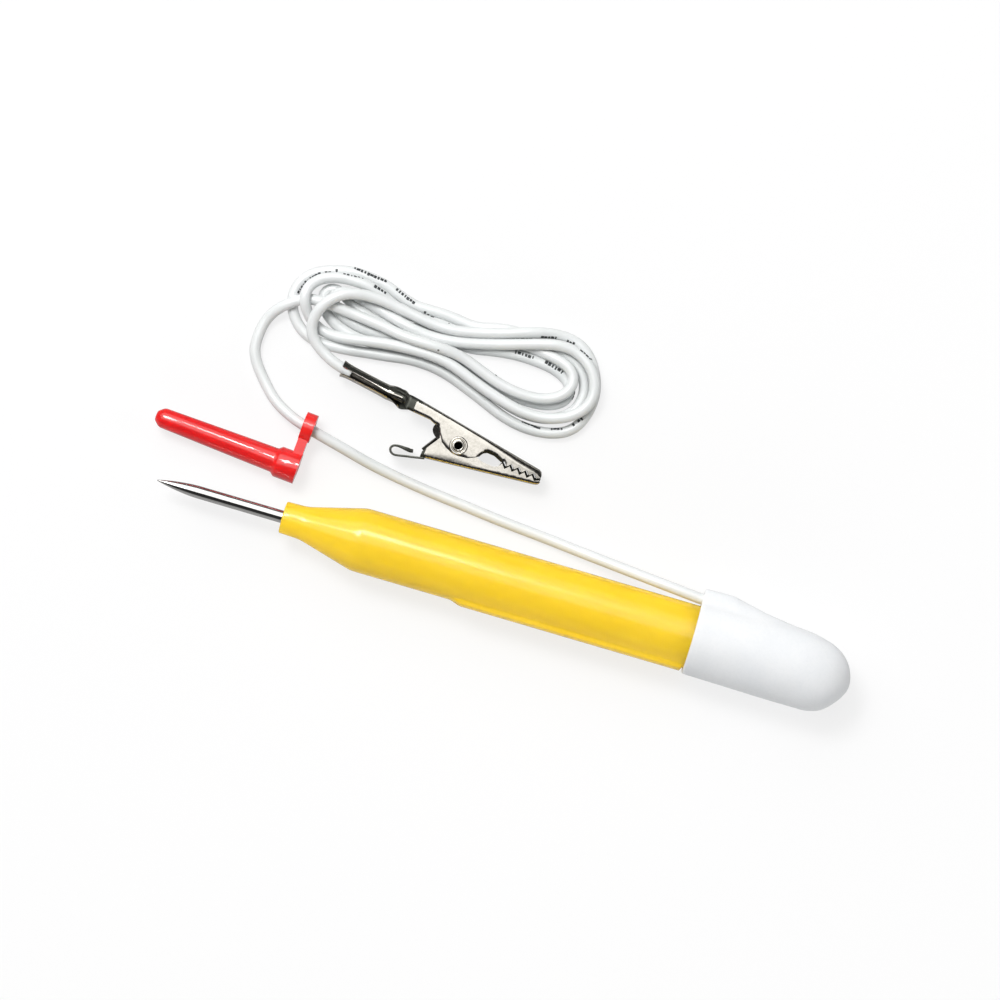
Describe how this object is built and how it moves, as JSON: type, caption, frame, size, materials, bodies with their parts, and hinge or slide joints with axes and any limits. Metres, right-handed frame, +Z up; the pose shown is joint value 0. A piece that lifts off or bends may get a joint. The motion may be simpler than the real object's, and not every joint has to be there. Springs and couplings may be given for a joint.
{
  "type": "continuity tester",
  "caption": "Pen-shaped continuity tester with a steel probe, a lamp under a frosted end cap, a white lead with an alligator clip, and a red tip cover that is captive on the lead.",
  "frame": {"origin": "on the floor, under the middle of the handle's bounding box", "axes": "+X along the handle from the probe's point to the cap, +Z up, +Y to the side where the lead, the tip cover and the clip lie; the handle leans 0.9 degrees, its cap end raised"},
  "size_m": [0.167, 0.0678, 0.0176],
  "materials": {
    "yellow_plastic": "smooth moulded plastic with a soft gloss",
    "red_plastic": "smooth moulded plastic with a soft gloss",
    "cap_plastic": "frosted, lets the lamp's light through",
    "lead_pvc": "smooth soft vinyl",
    "holder_plastic": "matt",
    "cell_jacket": "plain printed film",
    "probe_steel": "polished and plated",
    "nickel_steel": "bright nickel plating on pressed sheet",
    "spring_steel": "plain wire",
    "brass": "plain",
    "copper": "bare copper strands",
    "lamp_glass": "clear"
  },
  "bodies": {
    "handle": {"barrel": "yellow_plastic", "probe": "probe_steel", "front_spring": "spring_steel", "cell_front": "cell_jacket", "cell_rear": "cell_jacket", "lamp_holder": "holder_plastic", "lamp_socket": "brass", "lamp_contact": "spring_steel", "lamp_shell": "brass", "lamp_glass": "lamp_glass", "solder_tag": "brass", "core_lamp_end": "copper", "lead_run": "lead_pvc", "lead_hank": "lead_pvc", "lead_tail": "lead_pvc", "core_clip_end": "copper", "clip_upper_jaw": "nickel_steel", "clip_rivet": "nickel_steel", "clip_spring": "spring_steel", "tip_cover": "red_plastic"},
    "cap": {"end_cap": "cap_plastic"},
    "lower_jaw": {"clip_lower_jaw": "nickel_steel"}
  },
  "joints": [
    {"name": "cap_pull", "type": "slide", "parent": "handle", "child": "cap", "axis": [0.9999, 0, 0.0157], "range_m": [0, 0.04]},
    {"name": "clip_hinge", "type": "hinge", "parent": "handle", "child": "lower_jaw", "pos_m": [-0.0182, 0.0252, 0.0036], "axis": [0, 0, -1], "range_deg": [0, 28], "stiffness_Nm_per_rad": 0.02, "springref_deg": -114.59, "deforming": ["clip_spring"]}
  ]
}
